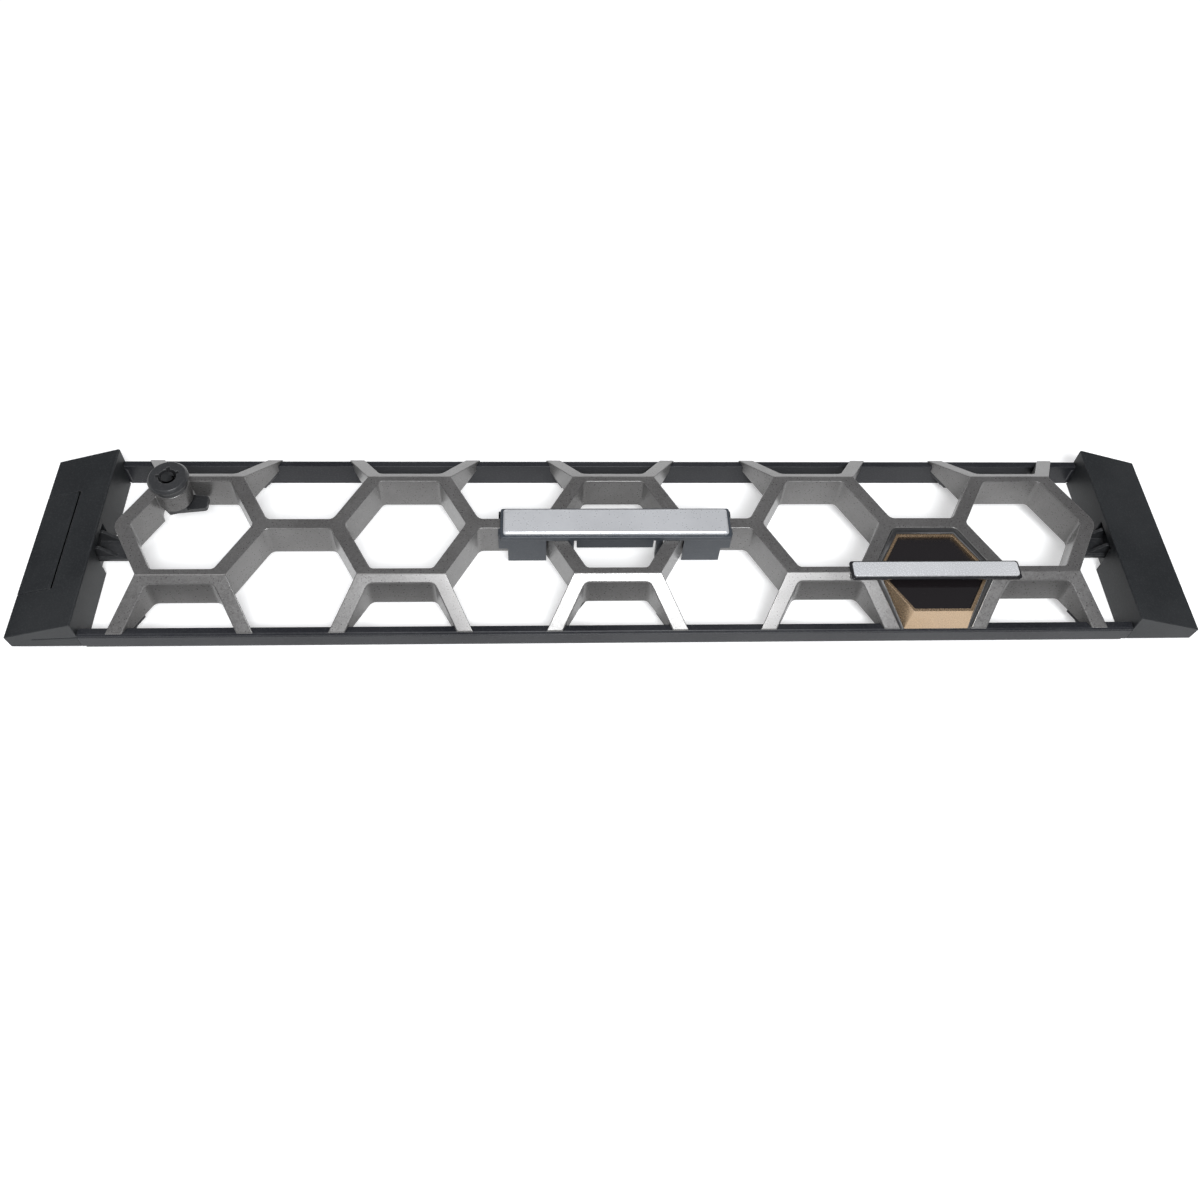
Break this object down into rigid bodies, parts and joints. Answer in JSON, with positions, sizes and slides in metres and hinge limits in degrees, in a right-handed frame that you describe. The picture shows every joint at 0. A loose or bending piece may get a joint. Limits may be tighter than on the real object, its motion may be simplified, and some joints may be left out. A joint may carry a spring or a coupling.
{
  "type": "server front bezel",
  "caption": "Two-unit rack server front bezel: honeycomb grille between two rails, wedge-shaped end caps with hooks, a release latch, a ring-key lock and plain badge strips.",
  "frame": {"origin": "under the middle of the bezel, on the plane of its rear edges, on which it lies", "axes": "+X along the bezel to its right-hand end as seen from the front, +Y to its top rail, +Z out of its front face"},
  "size_m": [0.484, 0.0868, 0.0354],
  "materials": {
    "grille_paint": "metallic grey paint on a moulding, satin",
    "rail_paint": "dark navy-black paint on a moulding, satin",
    "cap_plastic": "black plastic with a fine texture",
    "bracket_steel": "black coated sheet steel",
    "plated_steel": "zinc plated sheet steel",
    "spring_steel": "bare spring wire",
    "screw_steel": "black oxide",
    "lock_black": "black, satin",
    "lock_core_metal": "dark turned metal",
    "badge_slate": "dark slate plastic, satin",
    "badge_silver": "satin silver, plain",
    "slim_black": "black, glossy",
    "slim_chrome": "bright, plain",
    "rim_black": "black, satin",
    "frame_gold": "gold metallic paint, satin",
    "smoked_window": "smoked, glossy"
  },
  "bodies": {
    "bezel": {"hex_grille": "grille_paint", "top_rail": "rail_paint", "bottom_rail": "rail_paint", "left_end_cap": "cap_plastic", "right_end_cap": "cap_plastic", "left_bracket": "bracket_steel", "right_bracket": "bracket_steel", "latch_springs": "spring_steel", "guide_screws": "screw_steel", "hook_plate": "plated_steel", "hook_screws": "screw_steel", "bracket_screws": "screw_steel", "rail_screws": "screw_steel", "grille_screws": "screw_steel", "lock_barrel": "lock_black", "lock_nut": "lock_black", "badge_bar": "badge_slate", "badge_face": "badge_silver", "slim_bar": "slim_black", "slim_face": "slim_chrome", "insert_rim": "rim_black", "insert_frame": "frame_gold", "insert_window": "smoked_window"},
    "release": {"release_button": "cap_plastic", "latch_slide": "plated_steel", "button_screws": "screw_steel"},
    "lock_plug": {"lock_core": "lock_core_metal", "lock_cam": "lock_black", "lock_cam_screw": "screw_steel"}
  },
  "joints": [
    {"name": "release_slide", "type": "slide", "parent": "bezel", "child": "release", "axis": [1, 0, 0], "range_m": [0, 0.003], "stiffness_N_per_m": 900, "springref_m": -0.003, "deforming": ["latch_springs"]},
    {"name": "lock_turn", "type": "hinge", "parent": "bezel", "child": "lock_plug", "pos_m": [-0.18409, 0.0175, 0.02], "axis": [0, 0, 1], "range_deg": [-90, 0]}
  ]
}
